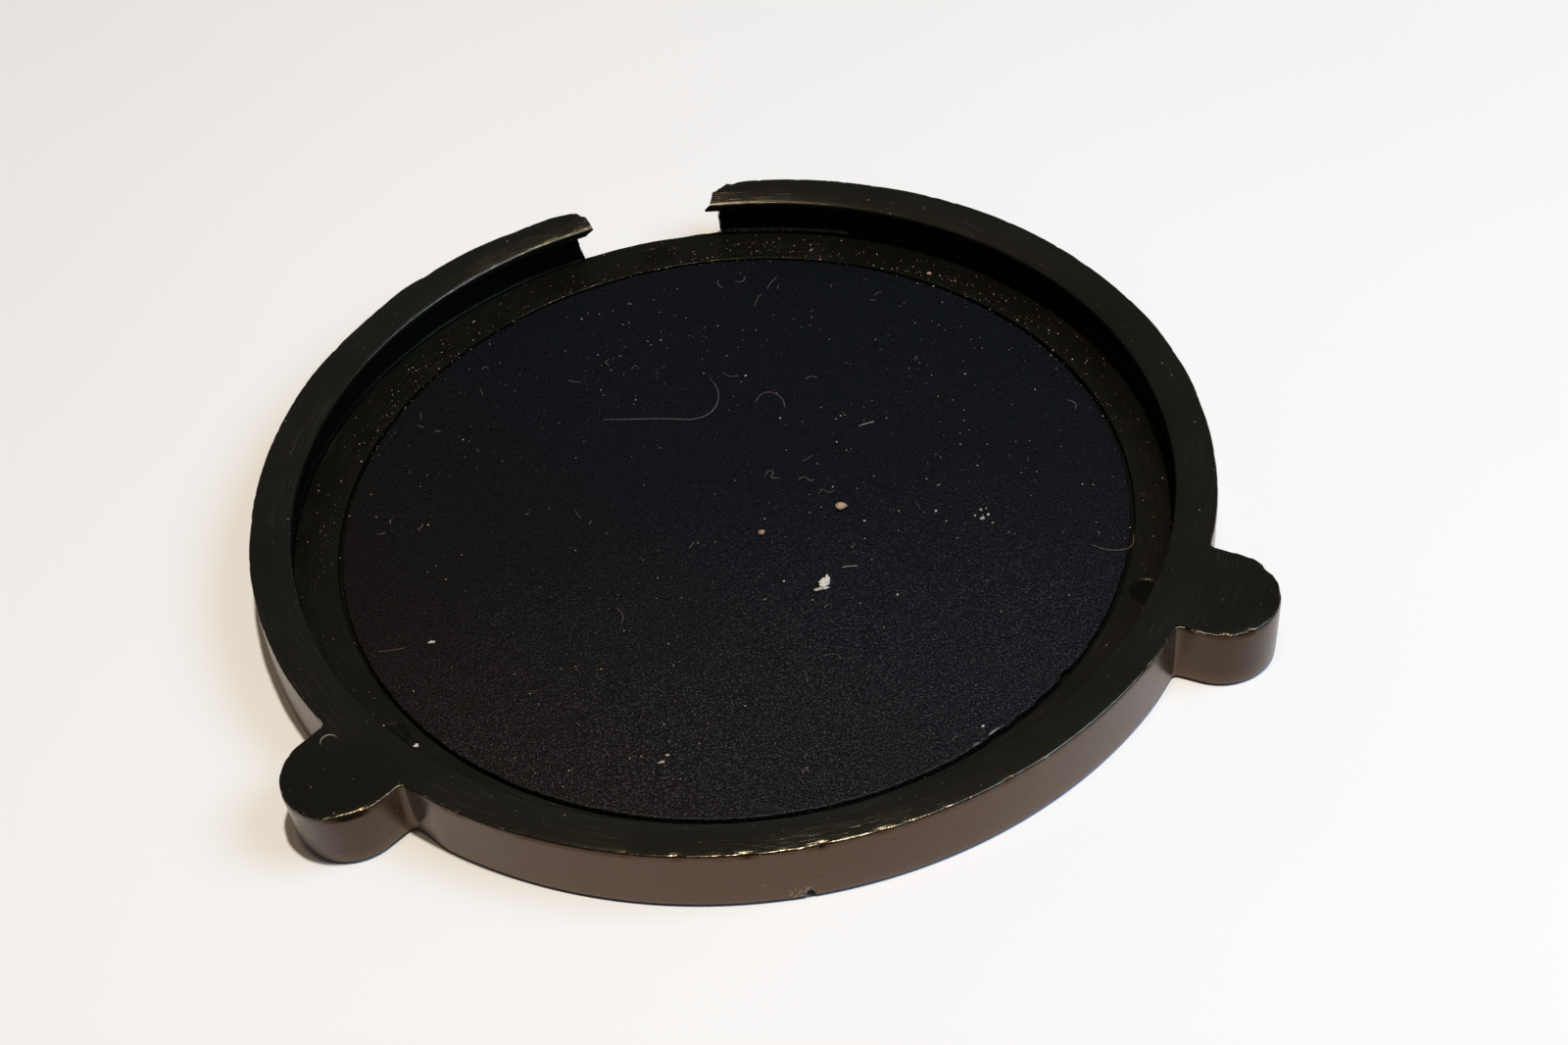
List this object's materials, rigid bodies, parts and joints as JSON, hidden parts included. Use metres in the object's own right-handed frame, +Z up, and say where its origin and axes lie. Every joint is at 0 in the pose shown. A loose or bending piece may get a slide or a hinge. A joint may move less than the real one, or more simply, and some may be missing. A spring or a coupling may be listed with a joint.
{
  "type": "round cap with liner",
  "caption": "Shallow round push-on cap in black moulded plastic with a snap bead inside its rim, finger ears, a broken gap in the rim and a thin matte liner disc.",
  "frame": {"origin": "on the cap's axis, at its flat underside", "axes": "+Z up out of the open side; -Y midway between the two finger ears; +Y at the gap in the rim"},
  "size_m": [0.06, 0.0596, 0.0044],
  "materials": {
    "shell_plastic": "satin moulded, scuffed",
    "adhesive_film": "thin film, hidden",
    "liner_sheet": "fine matte grain"
  },
  "bodies": {
    "root": {"cap_shell": "shell_plastic", "liner_adhesive": "adhesive_film", "liner_disc": "liner_sheet"}
  },
  "joints": []
}
